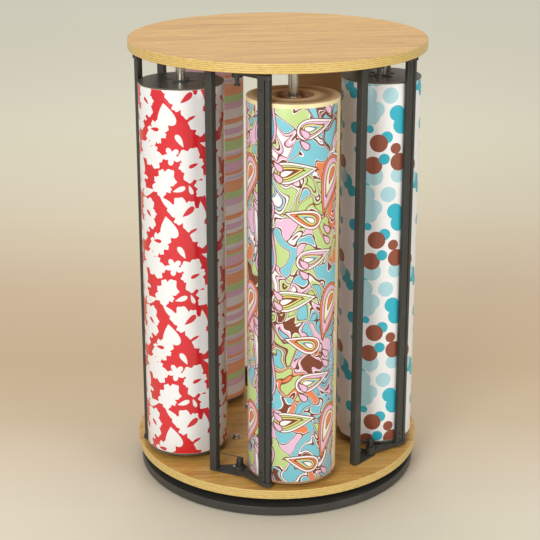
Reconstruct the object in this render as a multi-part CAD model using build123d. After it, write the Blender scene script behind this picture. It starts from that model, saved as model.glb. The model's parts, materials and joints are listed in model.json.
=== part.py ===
from build123d import *
import math
import os

# Gift-wrap carousel: two plywood discs joined by five tube posts turn on a base disc. Between the discs stand
# five rolls of paper, each on a lift-out shaft, and beside each roll hangs a sprung cutter bar.
# Millimetres, +Z up. The origin is the centre of the footprint, on the surface that the rubber feet stand on.

# Driving dimensions: discs and heights
SHELF_RADIUS = 300
SHELF_THICK = 19
EDGE_ROUND = 1.5
BASE_RADIUS = 294
TURNTABLE_RADIUS = 280
FOOT_PROUD = 2
BASE_TOP = 20
BEARING_THICK = 13
TURNTABLE_THICK = 9
DECK_GAP = 835

# Driving dimensions: rolls, in order round the carousel
ROLL_COUNT = 5
ROLL_CIRCLE = 210
ROLL_RADII = [89, 79.5, 76, 73, 84.5]
ROLL_LENGTH = 762
ROLL_LIFT_OFF_DECK = 17
CORE_RADIUS = 40
CORE_WALL = 2.5
SHAFT_RADIUS = 9.5
SHAFT_LIFT = 18
BARE_TOP_ROLL = 1

# Driving dimensions: cutters. Places are in the frame of one roll's station: x outwards, y anticlockwise.
POST_PLACE = (189.8, -154.3)
POST_SIDE = 16
POST_WALL = 1.5
POST_CORNER = 2
PIVOT_PLACE = (216, -106)
PLATE_SCREWS = [(187.6, -113.5), (192.2, -96)]
PLATE_THICK = 3
ARM_LENGTH = 75
BAR_TILT = 12
BAR_WIDE = 26
BAR_THICK = 8
BAR_GAP = 0.5
PIN_RADIUS = 4
HUB_RADIUS = 10
SCREW_RADIUS = 2.1
SCREW_HEAD = 4.4
SCREW_HEAD_THICK = 2.6
SCREW_DEPTH = 14

# Clearances
RUNNING_GAP = 0.05
CLEARANCE = 0.3

# Driving dimensions: roll hubs
HUB_WALL_RADIUS = CORE_RADIUS - CORE_WALL - 0.1
HUB_WALL = 3
HUB_DEPTH = 25
BOSS_RADIUS = 15
BOSS_PROUD = 2
COLLAR_THICK = 6
FLANGE_THICK = 4
TOP_FLANGE_THICK = 3
BARE_PLUG_DEPTH = 12
HUB_HOLE = 7
HUB_HOLE_CIRCLE = 25

# Heights that follow from them
BEARING_TOP = BASE_TOP + BEARING_THICK
SHELF_LOW = BEARING_TOP + TURNTABLE_THICK
DECK = SHELF_LOW + SHELF_THICK
CEILING = DECK + DECK_GAP
TOP = CEILING + SHELF_THICK
MIDDLE = (DECK + CEILING) / 2
ROLL_LOW = DECK + ROLL_LIFT_OFF_DECK
ROLL_HIGH = ROLL_LOW + ROLL_LENGTH

# Turntable bearing
RACE_RADIUS = 130
RACE_HEIGHT = BASE_TOP + BEARING_THICK / 2
BALL_RADIUS = 5
BALL_COUNT = 24
RING_INNER = 96
RING_OUTER = 152
RING_GAP = 1
BOLT_CIRCLE = 108
BOLT_RADIUS = 4
BOLT_HEAD = 7.5
BOLT_HEAD_THICK = 5.3
WASHER_RADIUS = 12
WASHER_THICK = 1.6
BOLT_ANGLES = [-151.6 + 90 * i for i in range(4)]

# Feet
FOOT_CIRCLE = 255
FOOT_RADIUS = 15
FOOT_HIGH = 5
FOOT_ANGLES = [60 * i for i in range(6)]

# Shaft sockets
SOCKET_RADIUS = 14
SOCKET_FLANGE = 23
SOCKET_FLANGE_THICK = 3
SHAFT_LOW = DECK - 10
SOCKET_LOW = SHAFT_LOW - 3
TOP_SOCKET_MOUTH = CEILING - 12
TOP_SOCKET_BLIND = CEILING + 15
TOP_SOCKET_HIGH = TOP_SOCKET_BLIND + 1.5
SHAFT_HIGH = TOP_SOCKET_BLIND - 1 - SHAFT_LIFT

# Cutter arm heights, bottom arm; the top arm mirrors it about MIDDLE
ARM_LOW = DECK + 4.5
ARM_HIGH = ARM_LOW + 7.5
HUB_LOW = DECK + PLATE_THICK + CLEARANCE
HUB_HIGH = DECK + 19
BAR_LOW = ARM_HIGH
BAR_HIGH = 2 * MIDDLE - BAR_LOW
PIN_HEAD = 6
PIN_HEAD_LOW = HUB_HIGH + 14
PIN_HEAD_THICK = 2.5
SPRING_RADIUS = 6.5
SPRING_TURNS = 5
SPRING_PITCH = 2.1
WIRE_RADIUS = 0.9
ARM_LEG = 13
POST_LEG = 44

os.makedirs("parts", exist_ok=True)


def save(name, solids):
    """Writes one node; solids is one shape or a list of separate ones."""
    if not isinstance(solids, list):
        solids = [solids]
    flat = []
    for shape in solids:
        flat.extend(shape.solids())
    export_step(flat[0] if len(flat) == 1 else Compound(flat), f"parts/{name}.step")


def rod(radius, low, high, place=(0, 0)):
    """A vertical cylinder from one height to another."""
    middle = (Align.CENTER, Align.CENTER, Align.MIN)
    return Pos(place[0], place[1], low) * Cylinder(radius, high - low, align=middle)


def tube(outer, inner, low, high, place=(0, 0)):
    return rod(outer, low, high, place) - rod(inner, low - 1, high + 1, place)


def polar(radius, angle):
    turn = math.radians(angle)
    return (radius * math.cos(turn), radius * math.sin(turn))


def slab(sketch, low, high):
    """A flat sketch drawn on the ground plane, raised from one height to another."""
    return Pos(0, 0, low) * extrude(sketch, amount=high - low)


def station(number, shape):
    """Turns a shape from the station frame to the place of roll 1 to 5. Roll 1 stands at -Y."""
    return Rot(0, 0, -90 + 360 / ROLL_COUNT * (number - 1)) * shape


def stations(shape):
    return [station(number, shape) for number in range(1, ROLL_COUNT + 1)]


def mirrored(shape):
    """The same piece at the other end of the posts."""
    return mirror(shape, about=Plane.XY.offset(MIDDLE))


def soft_disc(radius, low, high):
    disc = rod(radius, low, high)
    return fillet(disc.edges().filter_by(GeomType.CIRCLE), EDGE_ROUND)


def arm_angle(roll_radius):
    """Direction of a closed arm from its pivot, which brings the bar's inner face to the paper."""
    to_roll = (ROLL_CIRCLE - PIVOT_PLACE[0], -PIVOT_PLACE[1])
    reach = math.hypot(*to_roll)
    facing = math.degrees(math.atan2(to_roll[1], to_roll[0]))
    standoff = roll_radius + BAR_GAP + BAR_THICK / 2 - ARM_LENGTH * math.sin(math.radians(BAR_TILT))
    return facing - 90 - BAR_TILT + math.degrees(math.acos(standoff / reach))


# Base


def base_disc():
    disc = soft_disc(BASE_RADIUS, FOOT_PROUD, BASE_TOP)
    for angle in FOOT_ANGLES:
        disc -= rod(FOOT_RADIUS + 0.1, 0, FOOT_HIGH, polar(FOOT_CIRCLE, angle))
    return disc


def base_feet():
    feet = []
    for angle in FOOT_ANGLES:
        pad = rod(FOOT_RADIUS, 0, FOOT_HIGH, polar(FOOT_CIRCLE, angle))
        feet.append(chamfer(pad.faces().sort_by(Axis.Z)[0].edges(), 0.6))
    return feet


# Turntable bearing: balls run in a groove between two rings


def bearing_ring(low, high):
    groove = Pos(0, 0, RACE_HEIGHT) * Torus(RACE_RADIUS, BALL_RADIUS + RUNNING_GAP)
    return tube(RING_OUTER, RING_INNER, low, high) - groove


def bearing_balls():
    balls = []
    for i in range(BALL_COUNT):
        x, y = polar(RACE_RADIUS, 360 / BALL_COUNT * i)
        balls.append(Pos(x, y, RACE_HEIGHT) * Sphere(BALL_RADIUS))
    return balls


def bolt_holes(radius, low, high):
    holes = [rod(radius, low, high, polar(BOLT_CIRCLE, angle)) for angle in BOLT_ANGLES]
    return Compound([hole.solid() for hole in holes])


def upper_ring():
    ring = bearing_ring(RACE_HEIGHT + RING_GAP / 2, BEARING_TOP)
    return ring - bolt_holes(BOLT_RADIUS + RUNNING_GAP, BASE_TOP, BEARING_TOP + 1)


def turntable_bolts():
    """Hexagon bolts down through the shelf into the upper ring, each over a wide washer."""
    washer_top = DECK + WASHER_THICK
    pieces = []
    for angle in BOLT_ANGLES:
        place = polar(BOLT_CIRCLE, angle)
        hexagon = Pos(*place) * RegularPolygon(BOLT_HEAD, 6)
        head = slab(hexagon, washer_top, washer_top + BOLT_HEAD_THICK)
        head = chamfer(head.faces().sort_by(Axis.Z)[-1].edges(), 0.6)
        pieces.append(head + rod(BOLT_RADIUS, RACE_HEIGHT + 1.5, washer_top, place))
        pieces.append(tube(WASHER_RADIUS, BOLT_RADIUS + CLEARANCE, DECK, washer_top, place))
    return pieces


# Shelves


def screw_holes(low, high):
    holes = []
    for place in PLATE_SCREWS:
        holes.extend(stations(rod(SCREW_RADIUS + RUNNING_GAP, low, high, place)))
    return holes


def turntable_disc():
    disc = soft_disc(TURNTABLE_RADIUS, BEARING_TOP, SHELF_LOW)
    return disc - bolt_holes(BOLT_RADIUS + CLEARANCE, BASE_TOP, DECK)


def bottom_shelf():
    shelf = soft_disc(SHELF_RADIUS, SHELF_LOW, DECK)
    shelf -= bolt_holes(BOLT_RADIUS + CLEARANCE, BASE_TOP, DECK + 1)
    for hole in stations(rod(SOCKET_RADIUS + RUNNING_GAP, SOCKET_LOW, DECK + 1, (ROLL_CIRCLE, 0))):
        shelf -= hole
    for hole in screw_holes(DECK - SCREW_DEPTH, DECK + 1):
        shelf -= hole
    return shelf


def top_shelf():
    shelf = soft_disc(SHELF_RADIUS, CEILING, TOP)
    for hole in stations(rod(SOCKET_RADIUS + RUNNING_GAP, CEILING - 1, TOP_SOCKET_HIGH, (ROLL_CIRCLE, 0))):
        shelf -= hole
    for hole in screw_holes(CEILING - 1, CEILING + SCREW_DEPTH):
        shelf -= hole
    return shelf


# Posts and pivot brackets


def post_square(side, corner):
    """A rounded square on the post's axis, with one side facing the carousel's axis."""
    turn = math.degrees(math.atan2(POST_PLACE[1], POST_PLACE[0]))
    return Pos(*POST_PLACE) * (Rot(0, 0, turn) * RectangleRounded(side, side, corner))


def post():
    section = post_square(POST_SIDE, POST_CORNER)
    section -= post_square(POST_SIDE - 2 * POST_WALL, POST_CORNER - POST_WALL + CLEARANCE)
    return slab(section, DECK + PLATE_THICK, CEILING - PLATE_THICK)


def bracket():
    """Plate under the post's foot, reaching to the pivot and screwed to the shelf."""
    lobes = [Pos(*PIVOT_PLACE) * Circle(HUB_RADIUS + 1)]
    lobes += [Pos(*place) * Circle(2 * SCREW_HEAD - 1) for place in PLATE_SCREWS]
    edges = list(post_square(POST_SIDE, POST_CORNER).edges())
    for lobe in lobes:
        edges += list(lobe.edges())
    plate = slab(make_hull(edges), DECK, DECK + PLATE_THICK)
    plate -= rod(PIN_RADIUS + RUNNING_GAP, DECK - 1, DECK + PLATE_THICK + 1, PIVOT_PLACE)
    for place in PLATE_SCREWS:
        plate -= rod(SCREW_RADIUS + CLEARANCE, DECK - 1, DECK + PLATE_THICK + 1, place)
    return plate


def bracket_screw(place):
    """Round-headed wood screw through the plate into the shelf."""
    head_low = DECK + PLATE_THICK
    head = rod(SCREW_HEAD, head_low, head_low + SCREW_HEAD_THICK, place)
    head = fillet(head.faces().sort_by(Axis.Z)[-1].edges(), SCREW_HEAD_THICK - 1)
    return head + rod(SCREW_RADIUS, DECK - SCREW_DEPTH, head_low, place)


def pivot_pin():
    head = rod(PIN_HEAD, PIN_HEAD_LOW, PIN_HEAD_LOW + PIN_HEAD_THICK, PIVOT_PLACE)
    head = fillet(head.faces().sort_by(Axis.Z)[-1].edges(), 1)
    return head + rod(PIN_RADIUS, DECK, PIN_HEAD_LOW, PIVOT_PLACE)


def both_ends(shape):
    """Five of a piece at the bottom shelf and five mirrored at the top shelf."""
    return stations(shape) + stations(mirrored(shape))


# Shaft sockets


def bottom_socket():
    place = (ROLL_CIRCLE, 0)
    cup = rod(SOCKET_RADIUS, SOCKET_LOW, DECK, place)
    cup += rod(SOCKET_FLANGE, DECK, DECK + SOCKET_FLANGE_THICK, place)
    return cup - rod(SHAFT_RADIUS + RUNNING_GAP, SHAFT_LOW, DECK + 10, place)


def top_socket():
    place = (ROLL_CIRCLE, 0)
    cup = rod(SOCKET_RADIUS, TOP_SOCKET_MOUTH, TOP_SOCKET_HIGH, place)
    cup += rod(SOCKET_FLANGE, CEILING - SOCKET_FLANGE_THICK, CEILING, place)
    return cup - rod(SHAFT_RADIUS + RUNNING_GAP, TOP_SOCKET_MOUTH - 1, TOP_SOCKET_BLIND, place)


# Torsion spring round the bottom pivot: one leg lies along the arm, the other reaches the post


def spring(number):
    arm = arm_angle(ROLL_RADII[number - 1])
    to_post = (POST_PLACE[0] - PIVOT_PLACE[0], POST_PLACE[1] - PIVOT_PLACE[1])
    post_angle = math.degrees(math.atan2(to_post[1], to_post[0]))
    start = arm + 90
    turns = SPRING_TURNS + ((post_angle - 90 - start) % 360) / 360
    coil = Helix(pitch=SPRING_PITCH, height=SPRING_PITCH * turns, radius=SPRING_RADIUS)
    arm_leg_end = coil @ 0 - (coil % 0) * ARM_LEG
    post_leg_end = coil @ 1 + (coil % 1) * POST_LEG
    path = Line(arm_leg_end, coil @ 0) + coil + Line(coil @ 1, post_leg_end)
    wire = sweep(Plane(origin=arm_leg_end, z_dir=coil % 0) * Circle(WIRE_RADIUS), path=path)
    low = HUB_HIGH + WIRE_RADIUS + 1
    return Pos(PIVOT_PLACE[0], PIVOT_PLACE[1], low) * (Rot(0, 0, start) * wire)


# Cutter: drawn along +X from the pivot at the origin, then turned to its closed direction


def bar_frame(shape):
    """Sets a shape drawn round the bar's centre, x along its width and y towards the roll."""
    return Pos(ARM_LENGTH, 0, 0) * (Rot(0, 0, BAR_TILT) * shape)


def closed(number, shape):
    """Puts a cutter piece at its pivot, closed against roll 1 to 5."""
    turned = Rot(0, 0, arm_angle(ROLL_RADII[number - 1])) * shape
    return station(number, Pos(PIVOT_PLACE[0], PIVOT_PLACE[1], 0) * turned)


def cutter_bar():
    """Hollow flat bar with a groove down its outer face and a rebate for the blade."""
    edge = BAR_WIDE / 2
    section = RectangleRounded(BAR_WIDE, BAR_THICK, 1.2)
    section -= Pos(-5.1, 0) * Rectangle(12.8, BAR_THICK - 3)
    section -= Pos(4.3, -BAR_THICK / 2 + 1.5) * Rectangle(2.6, 3)
    section -= Pos(edge - 4.5, BAR_THICK / 2 - 0.5) * Rectangle(9, 1)
    return slab(bar_frame(section), BAR_LOW, BAR_HIGH)


def cutter_blade():
    """Serrated strip in the rebate; its teeth stand proud of the bar's free edge."""
    pitch = 4
    root = BAR_WIDE / 2 + 0.6
    tip = BAR_WIDE / 2 + 2.4
    low = BAR_LOW + 1.5
    count = int((BAR_HIGH - BAR_LOW - 3) / pitch)
    outline = [(BAR_WIDE / 2 - 8.9, low)]
    for i in range(count):
        outline += [(root, low + pitch * i), (tip, low + pitch * (i + 0.5))]
    outline += [(root, low + pitch * count), (BAR_WIDE / 2 - 8.9, low + pitch * count)]
    strip = make_face(Polyline(*outline, close=True))
    blade = extrude(Plane.XZ.offset(-BAR_THICK / 2) * strip, amount=0.9)
    return bar_frame(blade)


def cutter_arm():
    """Bottom arm: pivot hub and a flat web, which ends in the foot that holds the bar."""
    foot = bar_frame(Pos(1, -1.25) * RectangleRounded(BAR_WIDE + 4, BAR_THICK + 2.5, 4))
    tip = bar_frame(Pos(6, -1.5) * Circle(BAR_THICK / 2 + 1))
    web = make_hull(list(Circle(HUB_RADIUS - 1).edges()) + list(tip.edges()))
    arm = slab(web, ARM_LOW, ARM_HIGH) + slab(foot, ARM_LOW, ARM_HIGH)
    arm += rod(HUB_RADIUS, HUB_LOW, HUB_HIGH)
    return arm - rod(PIN_RADIUS + RUNNING_GAP, DECK, HUB_HIGH + 1)


# Rolls


def shaft():
    """Lift-out shaft with a collar that carries the roll's lower hub."""
    place = (ROLL_CIRCLE, 0)
    bar = rod(SHAFT_RADIUS, SHAFT_LOW, SHAFT_HIGH, place)
    bar = chamfer(bar.edges().filter_by(GeomType.CIRCLE), 1)
    boss_low = ROLL_LOW - FLANGE_THICK - BOSS_PROUD
    collar = rod(BOSS_RADIUS + 1, boss_low - COLLAR_THICK, boss_low, place)
    return bar + fillet(collar.edges().filter_by(GeomType.CIRCLE), 0.8)


def paper_roll(number):
    radius = ROLL_RADII[number - 1]
    return tube(radius, CORE_RADIUS + RUNNING_GAP, ROLL_LOW, ROLL_HIGH, (ROLL_CIRCLE, 0))


def roll_core():
    return tube(CORE_RADIUS, CORE_RADIUS - CORE_WALL, ROLL_LOW, ROLL_HIGH, (ROLL_CIRCLE, 0))


def hub(disc_radius, disc_low, disc_high, wall_low, wall_high, boss_low, boss_high):
    """End plug of a roll: a disc with holes in it, a wall inside the core and a boss on the shaft."""
    place = (ROLL_CIRCLE, 0)
    plug = rod(disc_radius, disc_low, disc_high, place)
    plug += tube(HUB_WALL_RADIUS, HUB_WALL_RADIUS - HUB_WALL, wall_low, wall_high, place)
    plug += rod(BOSS_RADIUS, boss_low, boss_high, place)
    for i in range(4):
        x, y = polar(HUB_HOLE_CIRCLE, 45 + 90 * i)
        plug -= rod(HUB_HOLE, disc_low - 1, disc_high + 1, (ROLL_CIRCLE + x, y))
    return plug - rod(SHAFT_RADIUS + RUNNING_GAP, boss_low - 1, boss_high + 1, place)


def roll_hubs(number):
    """The bottom plug has a flange under the paper. The top one has one over it, or sits inside a bare end."""
    flange = ROLL_RADII[number - 1] - 0.5
    under = ROLL_LOW - FLANGE_THICK
    wall_high = ROLL_LOW + HUB_DEPTH
    bottom = hub(flange, under, ROLL_LOW, ROLL_LOW, wall_high, under - BOSS_PROUD, wall_high)
    wall_low = ROLL_HIGH - HUB_DEPTH
    if number == BARE_TOP_ROLL:
        web = ROLL_HIGH - BARE_PLUG_DEPTH
        top = hub(HUB_WALL_RADIUS, web, web + FLANGE_THICK, wall_low, ROLL_HIGH - 1, wall_low, ROLL_HIGH - 4)
    else:
        over = ROLL_HIGH + TOP_FLANGE_THICK
        top = hub(flange, ROLL_HIGH, over, wall_low, ROLL_HIGH, wall_low, over + TOP_FLANGE_THICK)
    return [bottom, top]


# Write every node

save("base_disc", base_disc())
save("base_feet", base_feet())
save("bearing_lower_ring", bearing_ring(BASE_TOP, RACE_HEIGHT - RING_GAP / 2))
save("bearing_balls", bearing_balls())
save("bearing_upper_ring", upper_ring())
save("turntable_disc", turntable_disc())
save("turntable_bolts", turntable_bolts())
save("bottom_shelf", bottom_shelf())
save("top_shelf", top_shelf())
save("pivot_brackets", both_ends(bracket()))
save("bracket_screws", both_ends(bracket_screw(PLATE_SCREWS[0])) + both_ends(bracket_screw(PLATE_SCREWS[1])))
save("pivot_pins", both_ends(pivot_pin()))
save("bottom_sockets", stations(bottom_socket()))
save("top_sockets", stations(top_socket()))

for number in range(1, ROLL_COUNT + 1):
    save(f"post_{number}", station(number, post()))
    save(f"spring_{number}", station(number, spring(number)))
    save(f"cutter_bar_{number}", closed(number, cutter_bar()))
    save(f"cutter_blade_{number}", closed(number, cutter_blade()))
    save(f"cutter_arms_{number}", [closed(number, cutter_arm()), closed(number, mirrored(cutter_arm()))])
    save(f"shaft_{number}", station(number, shaft()))
    save(f"paper_roll_{number}", station(number, paper_roll(number)))
    save(f"roll_core_{number}", station(number, roll_core()))
    save(f"roll_hubs_{number}", [station(number, piece) for piece in roll_hubs(number)])
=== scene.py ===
import json
import math
import random

import bmesh
import bpy
from mathutils import Matrix, Vector


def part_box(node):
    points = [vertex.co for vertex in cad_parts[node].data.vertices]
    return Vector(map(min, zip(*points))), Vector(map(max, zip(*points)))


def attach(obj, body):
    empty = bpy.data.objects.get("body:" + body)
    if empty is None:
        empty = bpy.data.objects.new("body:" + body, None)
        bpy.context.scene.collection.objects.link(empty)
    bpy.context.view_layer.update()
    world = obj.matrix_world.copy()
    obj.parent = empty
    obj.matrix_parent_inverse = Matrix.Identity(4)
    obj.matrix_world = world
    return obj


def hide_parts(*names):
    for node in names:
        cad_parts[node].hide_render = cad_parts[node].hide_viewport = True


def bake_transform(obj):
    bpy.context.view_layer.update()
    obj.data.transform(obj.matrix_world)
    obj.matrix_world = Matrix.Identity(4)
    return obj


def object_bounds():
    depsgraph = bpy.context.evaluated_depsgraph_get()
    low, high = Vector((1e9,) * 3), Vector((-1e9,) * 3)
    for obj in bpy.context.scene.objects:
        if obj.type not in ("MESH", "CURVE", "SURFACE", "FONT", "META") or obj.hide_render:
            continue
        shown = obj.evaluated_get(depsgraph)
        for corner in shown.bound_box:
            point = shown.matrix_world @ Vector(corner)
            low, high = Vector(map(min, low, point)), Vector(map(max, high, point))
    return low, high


# A gift-wrap carousel. The CAD frame brings posts, shelves, cutters and shafts. This script adds the wound
# paper, the board cores, bent springs and screws, and gives every surface its finish. Lengths are in metres,
# except that print designs are laid out in millimetres along and up each roll.

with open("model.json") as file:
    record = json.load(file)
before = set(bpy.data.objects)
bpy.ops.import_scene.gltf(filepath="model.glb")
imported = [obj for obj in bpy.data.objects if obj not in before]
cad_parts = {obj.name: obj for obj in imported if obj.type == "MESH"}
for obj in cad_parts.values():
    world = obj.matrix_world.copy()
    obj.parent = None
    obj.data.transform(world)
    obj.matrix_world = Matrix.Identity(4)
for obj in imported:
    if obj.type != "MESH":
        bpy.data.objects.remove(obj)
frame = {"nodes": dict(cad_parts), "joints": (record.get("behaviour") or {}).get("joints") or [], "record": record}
cad_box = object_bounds()

NUMBERS = range(1, 6)
MM = 0.001

# Where the camera stands, which way it leans and how far it is turned from the carousel's axis, in degrees
CAMERA_PLACE = (-0.3787, -2.6945, 1.382)
CAMERA_PITCH = 17.48
CAMERA_TURN = 0.324
CAMERA_LENS = 91.2
CAMERA_SHIFT = -0.09

# Paper and cores. A seam is the direction, in degrees, in which a sheet's free edge lies
SHEET_STEP = 0.35 * MM
TURN_STEPS = 192
SIDE_STEPS = 12
END_RINGS = 18
END_SLACK = 0.35 * MM
END_EDGE = 0.6 * MM
END_TUCK = 0.3 * MM
PAPER_GAP = 0.05 * MM
WELD = 0.01 * MM
SEAMS = {1: -31, 2: 150, 3: 60, 4: 100, 5: 170}
CORE_WALL = 2.5 * MM
CORE_RIM = 0.5 * MM
CORE_STEPS = 128

# Cutters and springs
BAR_TILT = 12
BAR_THICK = 8 * MM
WIRE = 0.9 * MM
SPRING_COILS = 5
COIL_STEPS = 24
SPRING_RADIUS = 6.5 * MM
ARM_LEG = 13 * MM
POST_LEG = 44 * MM

# Screws: round heads with a cross cut into the dome
HEAD_SIDES = 20
DOME_ANGLES = (20, 40, 58, 74)
BRACKET_HEAD_HIGH = 2.6 * MM
BAR_HEAD_RADIUS = 2.6 * MM
BAR_HEAD_HIGH = 1.5 * MM
BAR_SCREWS_FROM_END = (9 * MM, 21 * MM)
BAR_SCREW_INSET = 5 * MM

# Board and wood: degrees from X to the oak's grain, one ply's thickness, and the climb of the cores' seam
GRAIN_TURN = 12
PLY = 3.8 * MM
CORE_SEAM_CLIMB = 95 * MM

# Floor and lights. Each light has its place, size, power, colour and the point that it faces
FLOOR_SIZE = 14
# FLOOR_NEAR and FLOOR_FAR, in metres, place the floor's painted shadow band and painted light along the line of
# sight
FLOOR_NEAR = 1.0
FLOOR_FAR = 8.0
RACK_MIDDLE = (0, 0, 0.45)
LIGHTS = {
    "key": ((-1.7, -2.8, 1.9), (1.3, 1.5), 60, (1.0, 0.99, 0.98), RACK_MIDDLE),
    "fill": ((1.9, -2.6, 1.5), (1.2, 1.6), 24, (1.0, 0.99, 0.98), RACK_MIDDLE),
    "top": ((0.2, 1.6, 3.4), (2.6, 2.6), 60, (1.0, 0.98, 0.95), (0, 1.4, 0)),
}
WORLD_COLOUR = (1.0, 0.985, 0.96, 1)
WORLD_STRENGTH = 0.56


def linear(red, green, blue):
    """A display colour from 0 to 255 as a scene-linear colour with alpha."""
    levels = []
    for level in (red, green, blue):
        share = level / 255
        levels.append(share / 12.92 if share <= 0.04045 else ((share + 0.055) / 1.055) ** 2.4)
    return (*levels, 1)


# Materials: arithmetic on fields builds the node tree


class Field:
    """A number that a shader works out at each point of a surface."""

    def __init__(self, tree, socket):
        self.tree = tree
        self.socket = socket

    def math(self, operation, *others):
        node = self.tree.nodes.new("ShaderNodeMath")
        node.operation = operation
        for socket, value in zip(node.inputs, (self, *others)):
            if isinstance(value, Field):
                self.tree.links.new(value.socket, socket)
            else:
                socket.default_value = value
        return Field(self.tree, node.outputs[0])

    def __add__(self, other):
        return self.math("ADD", other)

    def __sub__(self, other):
        return self.math("SUBTRACT", other)

    def __rsub__(self, other):
        return self.math("MULTIPLY_ADD", -1, other)

    def __mul__(self, other):
        return self.math("MULTIPLY", other)

    def __truediv__(self, other):
        return self.math("DIVIDE", other)

    __radd__ = __add__
    __rmul__ = __mul__

    def below(self, limit):
        """1 where the field is under the limit and 0 elsewhere."""
        return self.math("LESS_THAN", limit)


def shared(name, recipe, inputs, outputs):
    """A node group, built once and used many times: recipe takes and returns fields."""
    tree = bpy.data.node_groups.new(name, "ShaderNodeTree")
    for side, labels in (("INPUT", inputs), ("OUTPUT", outputs)):
        for label in labels:
            tree.interface.new_socket(label, in_out=side, socket_type="NodeSocketFloat")
    enter = tree.nodes.new("NodeGroupInput")
    leave = tree.nodes.new("NodeGroupOutput")
    results = recipe(*(Field(tree, socket) for socket in enter.outputs[:len(inputs)]))
    for result, socket in zip(results, leave.inputs):
        tree.links.new(result.socket, socket)
    return tree


def apply_shared(group, *values):
    """Runs fields, the first of them in the material's own tree, through a shared group."""
    tree = values[0].tree
    node = tree.nodes.new("ShaderNodeGroup")
    node.node_tree = group
    for socket, value in zip(node.inputs, values):
        if isinstance(value, Field):
            tree.links.new(value.socket, socket)
        else:
            socket.default_value = value
    return [Field(tree, socket) for socket in node.outputs]


class Finish:
    """One procedural material, with shortcuts for what the recipes need."""

    def __init__(self, name, **constants):
        self.material = bpy.data.materials.new(name)
        self.material.use_nodes = True
        self.tree = self.material.node_tree
        self.shader = self.tree.nodes["Principled BSDF"]
        for key, value in constants.items():
            self.shader.inputs[key.replace("_", " ")].default_value = value
        coordinates = self.tree.nodes.new("ShaderNodeTexCoord")
        self.place = coordinates.outputs["Object"]
        self.normal = coordinates.outputs["Normal"]

    def split(self, vector):
        node = self.tree.nodes.new("ShaderNodeSeparateXYZ")
        self.tree.links.new(vector, node.inputs[0])
        return [Field(self.tree, socket) for socket in node.outputs]

    def stretched(self, scale, turn=0.0):
        """The place on the surface, turned about Z and scaled along each axis."""
        node = self.tree.nodes.new("ShaderNodeMapping")
        node.inputs["Rotation"].default_value = (0, 0, math.radians(turn))
        node.inputs["Scale"].default_value = scale
        self.tree.links.new(self.place, node.inputs["Vector"])
        return node.outputs[0]

    def noise(self, scale, detail=2.0, roughness=0.5, vector=None, distortion=0.0):
        node = self.tree.nodes.new("ShaderNodeTexNoise")
        node.inputs["Scale"].default_value = scale
        node.inputs["Detail"].default_value = detail
        node.inputs["Roughness"].default_value = roughness
        node.inputs["Distortion"].default_value = distortion
        self.tree.links.new(vector or self.place, node.inputs["Vector"])
        return Field(self.tree, node.outputs["Fac"])

    def mix(self, factor, first, second):
        """first where the factor is 0 and second where it is 1. Colours are tuples or sockets."""
        node = self.tree.nodes.new("ShaderNodeMix")
        node.data_type = "RGBA"
        self.tree.links.new(factor.socket, node.inputs[0])
        for socket, colour in ((node.inputs[6], first), (node.inputs[7], second)):
            if isinstance(colour, tuple):
                socket.default_value = colour
            else:
                self.tree.links.new(colour, socket)
        return node.outputs[2]

    def ramp(self, field, stops, smooth=True):
        """stops is a list of (position, colour)."""
        node = self.tree.nodes.new("ShaderNodeValToRGB")
        node.color_ramp.interpolation = "LINEAR" if smooth else "CONSTANT"
        elements = node.color_ramp.elements
        while len(elements) < len(stops):
            elements.new(1.0)
        for element, (position, colour) in zip(elements, stops):
            element.position = position
            element.color = colour
        self.tree.links.new(field.socket, node.inputs[0])
        return node.outputs[0]

    def between(self, field, low, high):
        """Spreads a field that runs from 0 to 1 over low to high."""
        return field.math("MULTIPLY_ADD", high - low, low)

    def set(self, colour=None, roughness=None, height=None, depth=0.1 * MM):
        if colour is not None:
            self.tree.links.new(colour, self.shader.inputs["Base Color"])
        if roughness is not None:
            self.tree.links.new(roughness.socket, self.shader.inputs["Roughness"])
        if height is not None:
            bump = self.tree.nodes.new("ShaderNodeBump")
            bump.inputs["Distance"].default_value = depth
            self.tree.links.new(height.socket, bump.inputs["Height"])
            self.tree.links.new(bump.outputs[0], self.shader.inputs["Normal"])
        return self.material


# Plain finishes


def oak_ply():
    """Oak veneer on both faces, its grain turned from X, and a pale banded ply edge between them."""
    finish = Finish("oak_ply", Coat_Weight=0.12, Coat_Roughness=0.25)
    z = finish.split(finish.place)[2]
    sway = finish.noise(1, 2, vector=finish.stretched((1.6, 7, 1), GRAIN_TURN))
    figure = finish.noise(1, 4, 0.62, vector=finish.stretched((3, 70, 1), GRAIN_TURN), distortion=0.5)
    lines = finish.noise(1, 5, 0.7, vector=finish.stretched((9, 420, 1), GRAIN_TURN))
    pores = finish.noise(1, 2, 0.5, vector=finish.stretched((55, 1300, 1), GRAIN_TURN))
    veneer = finish.ramp(figure, [(0.32, linear(170, 114, 44)), (0.47, linear(206, 156, 78)),
                                  (0.64, linear(220, 176, 92))])
    veneer = finish.mix(lines.math("GREATER_THAN", 0.54) * 0.6, veneer, linear(150, 98, 40))
    veneer = finish.mix(finish.between(sway, -0.2, 0.5), veneer, linear(224, 182, 100))
    veneer = finish.mix(pores.below(0.38) * 0.6, veneer, linear(132, 84, 38))
    layer = ((z / PLY).math("FRACT") - 0.5).math("ABSOLUTE")
    grain = finish.noise(1, 3, vector=finish.stretched((90, 90, 900)))
    edge = finish.ramp(grain, [(0.35, linear(208, 174, 98)), (0.6, linear(228, 202, 126))])
    edge = finish.mix(layer.math("GREATER_THAN", 0.36) * 0.6, edge, linear(158, 112, 56))
    facing = finish.split(finish.normal)[2].math("ABSOLUTE").math("GREATER_THAN", 0.8)
    colour = finish.mix(facing, edge, veneer)
    roughness = finish.between(lines, 0.28, 0.5)
    return finish.set(colour, roughness, pores * 0.6 + lines * 0.4, 0.12 * MM)


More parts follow.
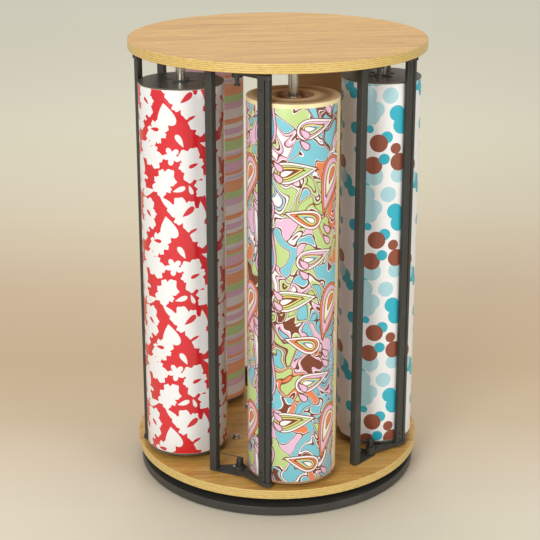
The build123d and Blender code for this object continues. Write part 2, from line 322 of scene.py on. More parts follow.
def base_board():
    """Black laminate with fine speckle and handling marks."""
    finish = Finish("base_board", Coat_Weight=0.1)
    cloud = finish.noise(9, 4)
    speckle = finish.noise(1400, 2)
    colour = finish.ramp(speckle, [(0.35, linear(50, 50, 47)), (0.7, linear(70, 70, 65))])
    colour = finish.mix(cloud.math("GREATER_THAN", 0.6) * 0.12, colour, linear(104, 102, 94))
    return finish.set(colour, finish.between(cloud, 0.32, 0.6), speckle, 0.04 * MM)


def foot_rubber():
    finish = Finish("foot_rubber")
    dust = finish.noise(300, 4)
    colour = finish.ramp(dust, [(0.4, linear(26, 26, 26)), (0.75, linear(52, 50, 48))])
    return finish.set(colour, finish.between(dust, 0.7, 0.95), dust, 0.15 * MM)


def metal(name, dark, light, low, high, turned=(1, 1, 1), strength=0.03 * MM):
    """Bare or plated metal whose brushing follows the stretch."""
    finish = Finish(name, Metallic=1.0)
    brush = finish.noise(500, 3, 0.6, vector=finish.stretched(turned))
    cloud = finish.noise(60, 3)
    colour = finish.mix(cloud, dark, light)
    return finish.set(colour, finish.between(brush, low, high), brush, strength)


def black_paint():
    """Charcoal powder coat: a fine orange peel, slightly worn bright on its high spots."""
    finish = Finish("black_paint", Specular_IOR_Level=0.5)
    peel = finish.noise(900, 2)
    cloud = finish.noise(14, 3)
    colour = finish.ramp(peel, [(0.3, linear(46, 47, 44)), (0.75, linear(66, 67, 63))])
    colour = finish.mix(cloud.math("GREATER_THAN", 0.62) * 0.15, colour, linear(92, 92, 88))
    return finish.set(colour, finish.between(peel, 0.36, 0.56), peel, 0.08 * MM)


def plastic(name, dark, light):
    """Moulded plastic, mottled with paper dust and handling."""
    finish = Finish(name)
    flow = finish.noise(90, 5, 0.65, distortion=1.5)
    fine = finish.noise(1500, 1)
    colour = finish.mix(flow, dark, light)
    return finish.set(colour, finish.between(flow, 0.22, 0.42), fine, 0.02 * MM)


def core_board():
    """Spiral-wound board: its seams climb round the tube."""
    finish = Finish("core_board")
    x, y, z = finish.split(finish.place)
    around = y.math("ARCTAN2", x) / math.tau
    spiral = (z / CORE_SEAM_CLIMB + around).math("FRACT")
    seam = (spiral - 0.5).math("ABSOLUTE").below(0.008)
    fibre = finish.noise(700, 4, vector=finish.stretched((1, 1, 0.25)))
    colour = finish.ramp(fibre, [(0.3, linear(150, 98, 66)), (0.7, linear(196, 140, 100))])
    colour = finish.mix(seam * 0.7, colour, linear(96, 62, 40))
    return finish.set(colour, finish.between(fibre, 0.6, 0.85), fibre - seam, 0.1 * MM)


def wound_edge():
    """The ends of a roll: sheet on sheet, with faint darker rings where the winding changed."""
    finish = Finish("wound_edge")
    x, y = finish.split(finish.place)[:2]
    out = (x * x + y * y).math("SQRT")
    rings = (out / (0.55 * MM)).math("SINE")
    broad = (out / (6.5 * MM) + finish.noise(12, 2) * 1.5).math("SINE")
    browns = [(0.1, linear(166, 136, 98)), (0.5, linear(202, 172, 130)), (0.95, linear(228, 204, 162))]
    colour = finish.ramp(finish.between(broad, 0.5, 0.9), browns)
    fibre = finish.noise(500, 3)
    return finish.set(colour, finish.between(fibre, 0.7, 0.9), rings * 0.5 + fibre, 0.15 * MM)


# Printed papers. Each design is laid out on a flat repeat and wraps round its roll.


def teardrop_recipe(x, y, length, half, lean):
    """Distance from a teardrop's outline: a quartic in x and y, divided by how steeply it changes."""
    t = y / length
    taper = (1 - t).math("MAXIMUM", 0)
    across = x - t * t * lean
    fullness = half * half * (27 / 4)
    past = (t - 1).math("MAXIMUM", 0) * length
    value = across * across - t * taper * taper * fullness + past * past
    slope = (across * t * lean * -4 - (taper - t * 2) * taper * fullness) / length
    steep = (across * across * 4 + slope * slope + 0.01).math("SQRT")
    return [value / steep]


def place_recipe(u, v, half_wide, half_high, centre_u, centre_v, cosine, sine):
    """The place relative to the nearest repeat of a motif, turned with it."""
    across = (u - centre_u).math("WRAP", half_wide, half_wide * -1)
    up = (v - centre_v).math("WRAP", half_high, half_high * -1)
    return [across * cosine + up * sine, up * cosine - across * sine]


PLACE_INPUTS = ("u", "v", "half_wide", "half_high", "centre_u", "centre_v", "cosine", "sine")
TEARDROP = shared("teardrop", teardrop_recipe, ("x", "y", "length", "half", "lean"), ("distance",))
MOTIF_PLACE = shared("motif_place", place_recipe, PLACE_INPUTS, ("x", "y"))


def teardrop(x, y, length, half, lean):
    """Distance from a leaning teardrop, negative inside. Its round end is at y 0, its tip at y = length."""
    return apply_shared(TEARDROP, x, y, length, half, lean)[0]


class Print(Finish):
    """Paper printed with a repeat. u runs round the roll from the sheet's free edge and v up it, in mm."""

    def __init__(self, name, radius, seam, high, **constants):
        super().__init__(name, **constants)
        x, y, z = self.split(self.stretched((1, 1, 1), 180 - seam))
        around = 2 * math.pi * radius / MM
        self.repeat = (around / REPEATS_ROUND, high)
        self.u = y.math("ARCTAN2", x).math("MULTIPLY_ADD", radius / MM, around / 2)
        self.v = z / MM

    def local(self, centre, turn=0.0):
        """The place relative to a motif's centre, in the motif's own turned axes."""
        angle = math.radians(turn)
        half_wide, half_high = self.repeat[0] / 2, self.repeat[1] / 2
        return apply_shared(MOTIF_PLACE, self.u, self.v, half_wide, half_high, *centre,
                            math.cos(angle), math.sin(angle))

    def bare(self, colour, side, top):
        """Leaves the sheet unprinted before side and above top."""
        edge = self.u.math("LESS_THAN", side).math("MAXIMUM", self.v.math("GREATER_THAN", top))
        return self.mix(edge, colour, CREAM)

    def paper(self, colour, low, high):
        """Finishes the sheet: light fibre and a slightly wavy gloss."""
        fibre = self.noise(1800, 2)
        wave = self.noise(1, 3, vector=self.stretched((9, 9, 30)))
        return self.set(colour, self.between(wave, low, high), wave * 2 + fibre * 0.04, 0.2 * MM)


def layers(design, colour, distance, steps):
    """Paints inwards from an outline: steps is a list of (distance, colour)."""
    for limit, ink in steps:
        colour = design.mix(distance.below(limit), colour, ink)
    return colour


def bent(along, across, reach, period, drift_period, drift):
    """along, pushed to and fro by a wave that runs across it and whose own phase waves."""
    phase = (along * (math.tau / drift_period)).math("SINE") * drift
    return along + (across * (math.tau / period) + phase).math("SINE") * reach


def swirl_ground(design):
    """Cells of a bent plane. Most hold a second colour, and each is outlined in brown and white."""
    round_roll = bent(design.u, design.v, *SWIRL_BEND_ROUND)
    up_roll = bent(design.v, design.u, *SWIRL_BEND_UP)
    joined = design.tree.nodes.new("ShaderNodeCombineXYZ")
    design.tree.links.new((round_roll / SWIRL_CELL[0]).socket, joined.inputs[0])
    design.tree.links.new((up_roll / SWIRL_CELL[1]).socket, joined.inputs[1])
    patch, edge = [design.tree.nodes.new("ShaderNodeTexVoronoi") for part in range(2)]
    edge.feature = "DISTANCE_TO_EDGE"
    for node in (patch, edge):
        node.voronoi_dimensions = "2D"
        node.inputs["Scale"].default_value = 1.0
        node.inputs["Randomness"].default_value = 0.9
        design.tree.links.new(joined.outputs[0], node.inputs["Vector"])
    first, second, chance = design.split(patch.outputs["Color"])
    rim = Field(design.tree, edge.outputs["Distance"])
    nested = chance.math("GREATER_THAN", 0.4)
    colour = design.ramp(first, SWIRL_PATCHES, smooth=False)
    core = design.ramp(second, SWIRL_CORES, smooth=False)
    colour = design.mix(nested * rim.math("GREATER_THAN", 0.15), colour, BROWN)
    colour = design.mix(nested * rim.math("GREATER_THAN", 0.2), colour, core)
    return layers(design, colour, rim, [(0.066, WHITE), (0.037, BROWN)])


def paper_swirl(radius, length, seam):
    """Curling patches under large leaning teardrops, each one of three nested drops, and small commas."""
    design = Print("paper_swirl", radius, seam, SWIRL_HIGH)
    wide, high = design.repeat
    colour = swirl_ground(design)
    draw = random.Random(19)
    for index, (size, turn) in enumerate(SWIRL_DROPS):
        row, column = divmod(index, 2)
        spot = ((column + 0.5 * (row % 2) + 0.25 + draw.uniform(-0.08, 0.08)) * wide / 2,
                (row + 0.5 + draw.uniform(-0.1, 0.1)) * high * 2 / len(SWIRL_DROPS))
        band, fill, eye = SWIRL_INKS[index]
        side = 1 - 2 * (index % 2)
        x, y = design.local(spot, turn)
        y = y + size * 0.38
        inks = (
            [(1.8, BROWN), (0.2, band), (-3.6, BROWN), (-5.2, fill)],
            [(1.6, BROWN), (0.0, YELLOW), (-3.0, eye)],
            [(1.0, BROWN), (-0.4, band)],
        )
        for (shift, rise, long, half, lean), steps in zip(NESTED_DROPS, inks):
            drop = teardrop(x - side * size * shift, y - size * rise, size * long, size * half,
                            side * size * lean)
            colour = layers(design, colour, drop, steps)
    for index in range(COMMAS):
        pair, part = divmod(index, 2)
        spot = (wide * (0.06 + 0.27 * pair), high * (0.2 + 0.25 * pair) + part * COMMA_STEP)
        x, y = design.local(spot, 70)
        comma = teardrop(x, y, *COMMA_SHAPE)
        colour = layers(design, colour, comma, [(1.8, BROWN), (0.2, PINK)])
    colour = design.bare(colour, SWIRL_SIDE_MARGIN, length / MM - SWIRL_TOP_MARGIN)
    return design.paper(colour, 0.3, 0.42)


def paper_dots(radius, length, seam):
    """Turquoise, rust and pale blue dots of many sizes, in loose overlapping chains on white."""
    design = Print("paper_dots", radius, seam, DOTS_HIGH)
    wide, high = design.repeat
    draw = random.Random(8)
    colour = design.mix(design.noise(30, 2), linear(240, 241, 243), linear(246, 247, 248))
    spots = []
    for row in range(DOT_ROWS):
        for column in range(DOT_COLUMNS):
            across = (column + 0.5 * (row % 2) + draw.uniform(-0.42, 0.42)) * wide / DOT_COLUMNS
            spots.append((across, (row + draw.uniform(-0.4, 0.4)) * high / DOT_ROWS))
    draw.shuffle(spots)
    for index, spot in enumerate(spots[:DOTS]):
        ink, sizes = DOT_INKS[index % len(DOT_INKS)]
        x, y = design.local(spot)
        size = draw.choice(sizes)
        colour = design.mix((x * x + y * y).below(size * size), colour, ink)
    return design.paper(colour, 0.26, 0.38)


def paper_stripe(radius, length, seam):
    """Level bands of pastel inks, each a little streaked."""
    total = sum(width for width, ink in STRIPES)
    design = Print("paper_stripe", radius, seam, total)
    streak = design.noise(1, 3, vector=design.stretched((3, 3, 500)))
    level = ((design.v + streak * 1.2) / total).math("FRACT")
    stops = []
    edge = 0.0
    for width, ink in STRIPES:
        stops.append((edge / total, ink))
        edge += width
    colour = design.ramp(level, stops, smooth=False)
    colour = design.mix((streak - 0.4).math("MAXIMUM", 0) * 0.9, colour, linear(250, 246, 246))
    return design.paper(colour, 0.34, 0.46)


def paper_floral(radius, length, seam):
    """White silhouettes of bushes, leaves, hearts and blossoms crowded on bright red."""
    design = Print("paper_floral", radius, seam, FLORAL_HIGH, Coat_Weight=0.5, Coat_Roughness=0.14)
    wide, high = design.repeat
    colour = design.mix(design.noise(26, 2), linear(212, 28, 44), linear(222, 40, 54))
    for index, (across, up, size, lobes) in enumerate(BUSHES):
        x, y = design.local((across * wide, up * high), index * 47)
        angle = y.math("ARCTAN2", x)
        out = (x * x + y * y).math("SQRT")
        lobe = (angle * (lobes / 2)).math("SINE").math("ABSOLUTE") * 0.26
        uneven = (angle * (2 * lobes + 3)).math("SINE") * 0.04 + (angle * 2).math("COSINE") * 0.2
        colour = design.mix((out / size - lobe - uneven).below(0.72), colour, PAPER_WHITE)
    for across, up, size, turn, ink, kind in SPRIGS:
        x, y = design.local((across * wide, up * high), turn)
        if kind == "heart":
            y = y + size * 0.5
            inside = teardrop(x.math("ABSOLUTE") - y * 0.22, size - y, size, size * 0.26, 0)
        elif kind == "blossom":
            angle = y.math("ARCTAN2", x)
            petals = (angle * 2.5).math("SINE").math("ABSOLUTE") * (size * 0.3)
            inside = (x * x + y * y).math("SQRT") - petals - size * 0.24
        else:
            inside = teardrop(x, y + size * 0.5, size, size * 0.2, size * 0.15)
        colour = design.mix(inside.below(0), colour, ink)
    return design.paper(colour, 0.2, 0.3)


def paper_kraft(radius, length, seam):
    """Plain brown paper with fine fibres and faint machine ribs. It has no repeat to lay out."""
    finish = Finish("paper_kraft")
    fibre = finish.noise(900, 4, 0.7)
    fleck = finish.noise(1, 2, vector=finish.stretched((700, 700, 160)))
    ribs = finish.noise(1, 2, vector=finish.stretched((4, 4, 900)))
    colour = finish.ramp(fibre, [(0.3, linear(150, 112, 70)), (0.7, linear(186, 146, 100))])
    colour = finish.mix(fleck.below(0.3) * 0.5, colour, linear(112, 80, 48))
    return finish.set(colour, finish.between(fibre, 0.5, 0.75), fibre * 0.5 + ribs, 0.08 * MM)


# Inks and layouts. Lengths are in mm, and places on a repeat are shares of its width and height
REPEATS_ROUND = 3
SWIRL_HIGH = 252
DOTS_HIGH = 200
FLORAL_HIGH = 226
CREAM = linear(238, 222, 168)
WHITE = linear(246, 243, 244)
PAPER_WHITE = linear(242, 243, 245)
RED = linear(216, 32, 48)
BROWN = linear(122, 62, 38)
BLUE = linear(124, 198, 214)
GREEN = linear(190, 214, 140)
PINK = linear(232, 190, 218)
ORANGE = linear(232, 132, 84)
YELLOW = linear(228, 218, 124)
SWIRL_PATCHES = [(0.0, BLUE), (0.3, GREEN), (0.5, ORANGE), (0.66, BROWN), (0.8, PINK), (0.94, WHITE)]
SWIRL_CORES = [(0.0, GREEN), (0.22, PINK), (0.4, BROWN), (0.56, BLUE), (0.8, ORANGE), (0.92, WHITE)]
SWIRL_CELL = (44, 70)
# How far the plane is bent, the wave's period, and the period and amount by which its phase drifts
SWIRL_BEND_ROUND = (27, 104, 83, 1.3)
SWIRL_BEND_UP = (25, 74, 61, 0.9)
SWIRL_SIDE_MARGIN = 26
SWIRL_TOP_MARGIN = 8
SWIRL_DROPS = [(92, 200), (62, 40), (74, 310), (96, 130), (84, 20), (66, 250)]
SWIRL_INKS = [
    (PINK, WHITE, GREEN),
    (WHITE, ORANGE, BLUE),
    (WHITE, GREEN, BROWN),
    (ORANGE, PINK, WHITE),
    (PINK, BLUE, ORANGE),
    (WHITE, PINK, BLUE),
]
# Each nested drop's shift, rise, length, half width and lean, as shares of the whole drop's size
NESTED_DROPS = [(0.0, 0.0, 1.0, 0.3, 0.5), (0.03, 0.13, 0.6, 0.15, 0.24), (0.04, 0.19, 0.32, 0.075, 0.1)]
COMMAS = 8
COMMA_STEP = 21
COMMA_SHAPE = (20, 5.5, 7)
DOT_ROWS = 6
DOT_COLUMNS = 5
DOTS = 26
DOT_INKS = [
    (linear(176, 218, 228), (16, 20)),
    (linear(52, 182, 204), (12, 16, 18)),
    (linear(146, 80, 60), (11, 15, 18)),
    (linear(48, 178, 200), (8, 11, 15)),
]
LILAC = linear(235, 193, 224)
STRIPES = [
    (10, linear(246, 167, 116)), (22, linear(246, 241, 243)), (14, LILAC), (15, linear(193, 226, 154)),
    (25, linear(250, 173, 123)), (5, linear(235, 224, 239)), (3, linear(214, 197, 226)),
    (5, linear(241, 229, 241)), (7, linear(250, 165, 112)), (21, linear(241, 195, 224)),
    (5, linear(197, 226, 161)), (9, linear(248, 169, 118)), (6, linear(226, 212, 233)),
    (6, linear(246, 235, 243)), (21, linear(195, 229, 152)), (6, linear(243, 173, 125)),
    (8, linear(246, 241, 243)), (13, LILAC), (10, linear(248, 243, 246)),
]
# Across, up, size, then lobes for a bush, or the turn, ink and kind for a sprig
BUSHES = [
    (0.10, 0.08, 34, 7), (0.50, 0.00, 27, 8), (0.34, 0.26, 30, 6), (0.84, 0.28, 36, 7),
    (0.12, 0.52, 30, 8), (0.58, 0.56, 28, 7), (0.90, 0.72, 32, 6), (0.40, 0.80, 30, 7),
]
SPRIGS = [
    (0.62, 0.16, 46, 190, PAPER_WHITE, "heart"),
    (0.00, 0.30, 40, 20, PAPER_WHITE, "leaf"),
    (0.34, 0.46, 40, 300, PAPER_WHITE, "leaf"),
    (0.60, 0.38, 34, 60, PAPER_WHITE, "leaf"),
    (0.76, 0.50, 26, 120, PAPER_WHITE, "leaf"),
    (0.20, 0.70, 44, 170, PAPER_WHITE, "heart"),
    (0.68, 0.80, 34, 10, PAPER_WHITE, "blossom"),
    (0.08, 0.88, 30, 80, PAPER_WHITE, "leaf"),
    (0.12, 0.10, 26, 60, RED, "leaf"),
    (0.86, 0.30, 30, 140, RED, "leaf"),
    (0.36, 0.26, 18, 240, RED, "leaf"),
    (0.14, 0.54, 22, 20, RED, "leaf"),
    (0.92, 0.72, 20, 300, RED, "leaf"),
    (0.48, 0.02, 20, 100, RED, "leaf"),
    (0.30, 0.12, 22, 0, PAPER_WHITE, "blossom"),
    (0.78, 0.94, 28, 220, PAPER_WHITE, "leaf"),
    (0.88, 0.50, 20, 30, PAPER_WHITE, "leaf"),
    (0.30, 0.58, 18, 80, PAPER_WHITE, "leaf"),
]
PAPERS = {1: paper_swirl, 2: paper_dots, 3: paper_kraft, 4: paper_stripe, 5: paper_floral}

FINISHES = {
    "oak_ply": oak_ply(),
    "base_board": base_board(),
    "foot_rubber": foot_rubber(),
    "zinc": metal("zinc", linear(196, 192, 178), linear(226, 224, 214), 0.16, 0.34, (1, 1, 0.02)),
    "ball_steel": metal("ball_steel", linear(206, 206, 208), linear(226, 226, 228), 0.08, 0.14),
    "spring_steel": metal("spring_steel", linear(70, 68, 66), linear(104, 102, 100), 0.3, 0.5),
    "blade_steel": metal("blade_steel", linear(84, 84, 82), linear(124, 124, 122), 0.26, 0.44, (1, 1, 0.1)),
    "black_paint": black_paint(),
    "hub_plastic": plastic("hub_plastic", linear(40, 44, 43), linear(112, 114, 108)),
    "brown_plastic": plastic("brown_plastic", linear(142, 106, 78), linear(176, 136, 104)),
    "core_board": core_board(),
    "wound_edge": wound_edge(),
}
joints = {joint["name"]: joint for joint in frame["joints"]}
frame_slots = {part["node"]: part["material_slot"] for part in frame["record"]["subparts"]}


# Mesh work


def mesh_object(name, mesh, place=(0, 0, 0), smooth=True):
    piece = bpy.data.objects.new(name, mesh)
    bpy.context.scene.collection.objects.link(piece)
    piece.location = place
    if smooth:
        mesh.shade_smooth()
    return piece


def from_bmesh(name, bm):
    mesh = bpy.data.meshes.new(name)
    bmesh.ops.recalc_face_normals(bm, faces=bm.faces)
    bm.to_mesh(mesh)
    bm.free()
    return mesh


def evaluated(piece):
    """The piece's mesh with its modifiers applied, as a new mesh."""
    graph = bpy.context.evaluated_depsgraph_get()
    return bpy.data.meshes.new_from_object(piece.evaluated_get(graph), depsgraph=graph)


def sharp_by_angle(piece, degrees):
    piece.data.set_sharp_from_angle(angle=math.radians(degrees))


def middle(node):
    low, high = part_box(node)
    return (low + high) / 2


def roll_place(number):
    low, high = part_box(f"roll_core_{number}")
    return Vector(((low.x + high.x) / 2, (low.y + high.y) / 2, low.z)), high.z - low.z


def sheet_section(inner, outer, length, slack):
    """A section through a roll as (radius, height): out, up and back in. slack makes its ends uneven."""
    heights = [0, END_EDGE] + [length * i / SIDE_STEPS for i in range(1, SIDE_STEPS)]
    heights += [length - END_EDGE, length]
    radii = [inner + (outer - inner) * i / END_RINGS for i in range(END_RINGS)]
    section = list(zip(radii, slack))
    section.append((outer - END_TUCK, heights[0]))
    section += [(outer, height) for height in heights[1:-1]]
    section.append((outer - END_TUCK, heights[-1]))
    section += [(out, length - gap) for out, gap in reversed(list(zip(radii, slack)))]
    return section


def add_roll(number):
    """The wound sheet: its outside is one turn of a spiral that ends in a free edge."""
    place, length = roll_place(number)
    low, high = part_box(f"paper_roll_{number}")
    radius = (high.x - low.x) / 2
    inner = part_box(f"roll_core_{number}")[1].x - place.x + PAPER_GAP
    seam = math.radians(SEAMS[number])
    draw = random.Random(number)
    slack = [draw.uniform(0, END_SLACK) for i in range(END_RINGS)]
    bm = bmesh.new()
    columns = []
    for step in range(TURN_STEPS + 1):
        angle = seam + math.tau * step / TURN_STEPS
        section = sheet_section(inner, radius - SHEET_STEP * step / TURN_STEPS, length, slack)
        columns.append([bm.verts.new((r * math.cos(angle), r * math.sin(angle), z)) for r, z in section])
    printed = range(END_RINGS + 1, END_RINGS + SIDE_STEPS + 1)
    for here, there in zip(columns, columns[1:]):
        for i in range(len(here)):
            j = (i + 1) % len(here)
            face = bm.faces.new((here[i], there[i], there[j], here[j]))
            face.material_index = 0 if i in printed else 1
    bm.faces.new(columns[0])
    bm.faces.new(columns[-1][::-1])
    bmesh.ops.remove_doubles(bm, verts=bm.verts, dist=WELD)
    piece = mesh_object(f"wound_paper_{number}", from_bmesh(f"wound_paper_{number}", bm), place)
    sharp_by_angle(piece, 40)
    piece.data.materials.append(PAPERS[number](radius, length, SEAMS[number]))
    piece.data.materials.append(FINISHES["wound_edge"])
    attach(piece, f"roll_{number}")
    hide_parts(f"paper_roll_{number}")


def lathe(name, profile, steps):
    """A closed profile of (radius, height) turned about Z."""
    bm = bmesh.new()
    rings = []
    for step in range(steps):
        angle = math.tau * step / steps
        rings.append([bm.verts.new((r * math.cos(angle), r * math.sin(angle), z)) for r, z in profile])
    for step in range(steps):
        here, there = rings[step], rings[(step + 1) % steps]
        for i in range(len(profile)):
            j = (i + 1) % len(profile)
            bm.faces.new((here[i], there[i], there[j], here[j]))
    return from_bmesh(name, bm)


def add_core(number):
    """Board tube inside the paper, with softly crushed rims."""
    place, length = roll_place(number)
    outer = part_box(f"roll_core_{number}")[1].x - place.x
    inner = outer - CORE_WALL
    rim = CORE_RIM
    profile = [(inner, rim), (inner + rim, 0), (outer - rim, 0), (outer, rim)]
    profile += [(out, length - up) for out, up in reversed(profile)]
    piece = mesh_object(f"board_core_{number}", lathe(f"board_core_{number}", profile, CORE_STEPS), place)
    sharp_by_angle(piece, 50)
    piece.data.materials.append(FINISHES["core_board"])
    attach(piece, f"roll_{number}")
    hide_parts(f"roll_core_{number}")


def wire_mesh(name, points, radius):
    """A round wire through the points, with closed ends."""
    curve = bpy.data.curves.new(name, "CURVE")
    curve.dimensions = "3D"
    curve.bevel_depth = radius
    curve.bevel_resolution = 3
    curve.use_fill_caps = True
    spline = curve.splines.new("POLY")
    spline.points.add(len(points) - 1)
    for point, place in zip(spline.points, points):
        point.co = (*place, 1)
    holder = bpy.data.objects.new(name, curve)
    bpy.context.scene.collection.objects.link(holder)
    bpy.context.view_layer.update()
    mesh = evaluated(holder)
    bpy.data.objects.remove(holder)
    return mesh


def add_spring(number):
    """Torsion spring: a leg along the arm, coils that climb round the hub's pin, and a leg to the post."""
    low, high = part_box(f"spring_{number}")
    pivot = Vector(joints[f"cutter_swing_{number}"]["pos_m"])
    arm = middle(f"cutter_bar_{number}") - pivot
    post = middle(f"post_{number}") - pivot
    start = math.atan2(arm.y, arm.x) + math.pi / 2
    finish = math.atan2(post.y, post.x) - math.pi / 2
    turn = SPRING_COILS * math.tau + (finish - start) % math.tau
    bottom, top = low.z + WIRE, high.z - WIRE
    steps = COIL_STEPS * SPRING_COILS
    points = []
    for i in range(steps + 1):
        angle = start + turn * i / steps
        x, y = pivot.x + SPRING_RADIUS * math.cos(angle), pivot.y + SPRING_RADIUS * math.sin(angle)
        points.append(Vector((x, y, bottom + (top - bottom) * i / steps)))
    into = Vector((-math.sin(start), math.cos(start), 0))
    out = Vector((-math.sin(start + turn), math.cos(start + turn), 0))
    legs_in = [points[0] - into * ARM_LEG * i / 4 for i in range(4, 0, -1)]
    legs_out = [points[-1] + out * POST_LEG * i / 8 for i in range(1, 9)]
    name = f"torsion_spring_{number}"
    piece = mesh_object(name, wire_mesh(name, legs_in + points + legs_out, WIRE))
    piece.data.materials.append(FINISHES["spring_steel"])
    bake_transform(piece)
    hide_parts(f"spring_{number}")


def prism(bm, lower, upper):
    """Walls between two outlines of the same length."""
    for i in range(len(lower)):
        j = (i + 1) % len(lower)
        bm.faces.new((lower[i], lower[j], upper[j], upper[i]))


def screw_heads(name, places, radius, height):
    """Domed screw heads with a cross recess. places is a list of matrices whose Z points out of the head."""
    dome = [(radius, 0), (radius, height * 0.35)]
    for degrees in DOME_ANGLES:
        angle = math.radians(degrees)
        dome.append((radius * math.cos(angle), height * (0.35 + 0.65 * math.sin(angle))))
    w, r = radius * 0.16, radius * 0.6
    cross = [(w, w), (w, r), (-w, r), (-w, w), (-r, w), (-r, -w), (-w, -w), (-w, -r), (w, -r), (w, -w),
             (r, -w), (r, w)]
    turns = [math.tau * i / HEAD_SIDES for i in range(HEAD_SIDES)]
    heads, cuts = bmesh.new(), bmesh.new()
    for matrix in places:
        rings = []
        for out, up in dome:
            circle = [Vector((out * math.cos(angle), out * math.sin(angle), up)) for angle in turns]
            rings.append([heads.verts.new(matrix @ corner) for corner in circle])
        for lower, upper in zip(rings, rings[1:]):
            prism(heads, lower, upper)
        heads.faces.new(rings[0][::-1])
        heads.faces.new(rings[-1])
        floor = [cuts.verts.new(matrix @ Vector((x * 0.8, y * 0.8, height * 0.35))) for x, y in cross]
        mouth = [cuts.verts.new(matrix @ Vector((x, y, height * 1.2))) for x, y in cross]
        cuts.faces.new(floor[::-1])
        cuts.faces.new(mouth)
        prism(cuts, floor, mouth)
    head = mesh_object(name, from_bmesh(name, heads), smooth=False)
    cutter = mesh_object(name + "_cut", from_bmesh(name + "_cut", cuts), smooth=False)
    boolean = head.modifiers.new("recess", "BOOLEAN")
    boolean.object = cutter
    boolean.operation = "DIFFERENCE"
    boolean.solver = "EXACT"
    bpy.context.view_layer.update()
    head.data = evaluated(head)
    head.modifiers.clear()
    bpy.data.objects.remove(cutter)
    head.data.shade_smooth()
    sharp_by_angle(head, 35)
    head.data.materials.append(FINISHES["zinc"])
    return head


def islands(node):
    """The separate solids of a CAD node, each as (lowest corner, highest corner)."""
    bm = bmesh.new()
    bm.from_mesh(frame["nodes"][node].data)
    bmesh.ops.remove_doubles(bm, verts=bm.verts, dist=0.000001)
    seen, boxes = set(), []
    for vert in bm.verts:
        if vert in seen:
            continue
        group, queue = [], [vert]
        seen.add(vert)
        while queue:
            here = queue.pop()
            group.append(here.co)
            for edge in here.link_edges:
                other = edge.other_vert(here)
                if other not in seen:
                    seen.add(other)
                    queue.append(other)
        low = Vector([min(co[i] for co in group) for i in range(3)])
        high = Vector([max(co[i] for co in group) for i in range(3)])
        boxes.append((low, high))
    bm.free()
    return boxes


def add_bracket_screws():
    """Cross-recessed heads on every pivot plate, each turned as it was left by the driver."""
    draw = random.Random(3)
    centre = (cad_box[0].z + cad_box[1].z) / 2
    boxes = islands("bracket_screws")
    places = []
    for low, high in boxes:
        up = (low.z + high.z) / 2 < centre
        seat = high.z - BRACKET_HEAD_HIGH if up else low.z + BRACKET_HEAD_HIGH
        flip = Matrix.Identity(4) if up else Matrix.Rotation(math.pi, 4, "X")
        at = Matrix.Translation(((low.x + high.x) / 2, (low.y + high.y) / 2, seat))
        places.append(at @ flip @ Matrix.Rotation(draw.uniform(0, math.pi), 4, "Z"))
    low, high = boxes[-1]
    piece = screw_heads("bracket_screw_heads", places, (high.x - low.x) / 2, BRACKET_HEAD_HIGH)
    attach(piece, "carousel")
    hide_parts("bracket_screws")


def add_bar_screws(number):
    """Screws through the bar's outer face into the arms' feet, two at each end."""
    low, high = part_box(f"cutter_bar_{number}")
    pivot = Vector(joints[f"cutter_swing_{number}"]["pos_m"])
    centre = (low + high) / 2
    arm = math.atan2(centre.y - pivot.y, centre.x - pivot.x)
    along = arm + math.radians(BAR_TILT)
    width = Vector((math.cos(along), math.sin(along), 0))
    outward = Vector((math.sin(along), -math.cos(along), 0))
    face = centre + outward * BAR_THICK / 2 - width * BAR_SCREW_INSET
    basis = Matrix((width, Vector((0, 0, 1)), outward)).transposed().to_4x4()
    near, far = BAR_SCREWS_FROM_END
    draw = random.Random(number)
    places = []
    for height in (low.z + near, low.z + far, high.z - far, high.z - near):
        place = Matrix.Translation((face.x, face.y, height)) @ basis
        places.append(place @ Matrix.Rotation(draw.uniform(0, math.pi), 4, "Z"))
    piece = screw_heads(f"bar_screws_{number}", places, BAR_HEAD_RADIUS, BAR_HEAD_HIGH)
    piece.data.materials[0] = FINISHES["spring_steel"]
    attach(piece, f"cutter_{number}")


for number in NUMBERS:
    add_roll(number)
    add_core(number)
    add_spring(number)
    add_bar_screws(number)
add_bracket_screws()

for name, node in frame["nodes"].items():
    if frame_slots[name] in FINISHES:
        node.data.materials.clear()
        node.data.materials.append(FINISHES[frame_slots[name]])
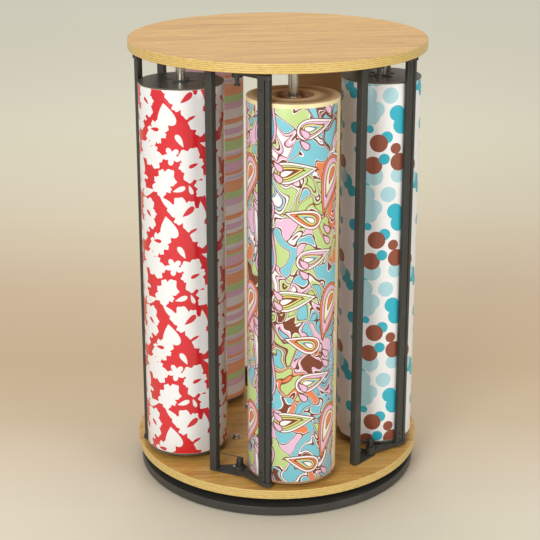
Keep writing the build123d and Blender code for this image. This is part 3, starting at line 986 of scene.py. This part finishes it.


# Stage: a pale floor, with painted shade and painted light on it, under soft studio light


def add_floor():
    """A wide floor, cream near and far, lighter far off by painted light, with a darker, warmer band behind the
    rack as seen from the front: a painted shadow.
    """
    bm = bmesh.new()
    bmesh.ops.create_grid(bm, x_segments=8, y_segments=8, size=FLOOR_SIZE)
    piece = mesh_object("floor", from_bmesh("floor", bm), smooth=False)
    finish = Finish("floor")
    x, y = finish.split(finish.place)[:2]
    forward = Vector((-CAMERA_PLACE[0], -CAMERA_PLACE[1])).normalized()
    away = (x * forward.x + y * forward.y) / FLOOR_FAR + FLOOR_NEAR / FLOOR_FAR
    # The ramp paints shade and light onto the floor: a painted shadow band behind the rack and painted light far
    # off
    painted_light_and_shade = finish.ramp(away, FLOOR_PAINTED_LIGHT_AND_SHADE)
    paper = finish.noise(900, 3)
    piece.data.materials.append(finish.set(painted_light_and_shade, finish.between(paper, 0.75, 0.95), paper, 0.05 * MM))


def add_light(name, place, size, power, colour, target):
    light = bpy.data.lights.new(name, "AREA")
    light.shape = "RECTANGLE"
    light.size, light.size_y = size
    light.energy = power
    light.color = colour
    lamp = bpy.data.objects.new(name, light)
    bpy.context.scene.collection.objects.link(lamp)
    lamp.location = place
    lamp.rotation_euler = (Vector(target) - Vector(place)).to_track_quat("-Z", "Y").to_euler()


def add_camera():
    camera = bpy.data.cameras.new("camera")
    camera.lens = CAMERA_LENS
    camera.sensor_width = 36
    camera.shift_y = CAMERA_SHIFT
    camera.clip_start = 0.05
    camera.clip_end = 60
    eye = bpy.data.objects.new("camera", camera)
    bpy.context.scene.collection.objects.link(eye)
    facing = math.atan2(-CAMERA_PLACE[1], -CAMERA_PLACE[0]) + math.radians(CAMERA_TURN)
    pitch = math.radians(CAMERA_PITCH)
    level = math.cos(pitch)
    ahead = Vector((math.cos(facing) * level, math.sin(facing) * level, -math.sin(pitch)))
    eye.location = CAMERA_PLACE
    eye.rotation_euler = ahead.to_track_quat("-Z", "Y").to_euler()
    bpy.context.scene.camera = eye


# Painted light and shade on the floor, by distance along the line of sight: cream near, a painted shadow band,
# then painted light far off
FLOOR_PAINTED_LIGHT_AND_SHADE = [
    (0.089, linear(214, 206, 186)), (0.116, linear(208, 194, 172)), (0.144, linear(196, 178, 150)),
    (0.184, linear(192, 170, 140)), (0.252, linear(198, 178, 150)), (0.35, linear(212, 202, 178)),
    (0.5, linear(226, 222, 200)), (0.9, linear(255, 252, 232)),
]
add_floor()
add_camera()
for name, light in LIGHTS.items():
    add_light(name, *light)
world = bpy.data.worlds.new("studio")
world.use_nodes = True
world.node_tree.nodes["Background"].inputs["Color"].default_value = WORLD_COLOUR
world.node_tree.nodes["Background"].inputs["Strength"].default_value = WORLD_STRENGTH
bpy.context.scene.world = world
bpy.context.scene.view_settings.view_transform = "Standard"
